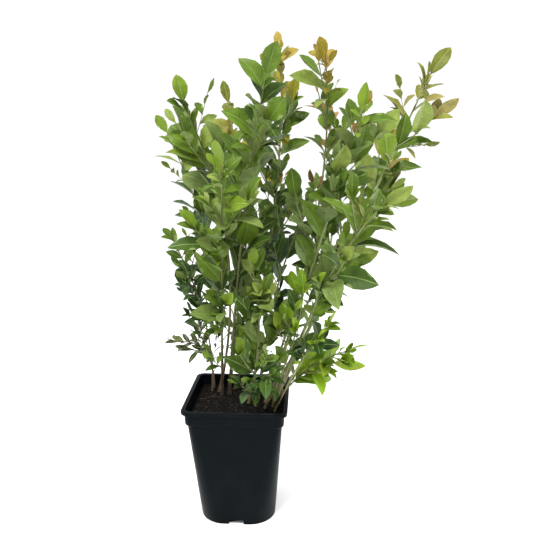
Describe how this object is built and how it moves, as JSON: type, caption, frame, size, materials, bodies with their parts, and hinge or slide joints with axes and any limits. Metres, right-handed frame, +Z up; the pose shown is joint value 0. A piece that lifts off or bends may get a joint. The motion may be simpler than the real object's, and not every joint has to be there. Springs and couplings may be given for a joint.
{
  "type": "potted blueberry bush",
  "caption": "Young blueberry bush with upright leafy canes, growing in a square tapering black nursery pot that is filled with compost.",
  "frame": {"origin": "middle of the pot's flat underside", "axes": "+Z up, +X towards the longer leaning side of the crown, -Y towards the front"},
  "size_m": [0.3788, 0.3185, 0.6107],
  "materials": {
    "black_plastic": "satin black moulded plastic",
    "compost": "dark moist compost",
    "bark": "thin bark, brown at the foot and green higher up",
    "foliage": "mid green leaves with paler undersides"
  },
  "bodies": {
    "root": {"pot": "black_plastic", "compost": "compost", "left_cane": "bark", "left_cane_spray": "foliage", "tall_front": "bark", "tall_front_spray": "foliage", "tall_middle": "bark", "tall_middle_spray": "foliage", "left_low": "bark", "left_low_spray": "foliage", "left_sprig": "bark", "left_sprig_spray": "foliage", "left_back": "bark", "left_back_spray": "foliage", "back_cane": "bark", "back_cane_spray": "foliage", "left_front": "bark", "left_front_spray": "foliage", "top_right": "bark", "top_right_spray": "foliage", "centre_front": "bark", "centre_front_spray": "foliage", "centre_low": "bark", "centre_low_spray": "foliage", "centre_shoot": "bark", "centre_shoot_spray": "foliage", "right_cane": "bark", "right_cane_spray": "foliage", "right_inner": "bark", "right_inner_spray": "foliage", "right_back": "bark", "right_back_spray": "foliage", "right_low": "bark", "right_low_spray": "foliage", "right_side": "bark", "right_side_spray": "foliage", "front_low": "bark", "front_low_spray": "foliage", "far_back": "bark", "far_back_spray": "foliage", "right_front": "bark", "right_front_spray": "foliage"}
  },
  "joints": []
}
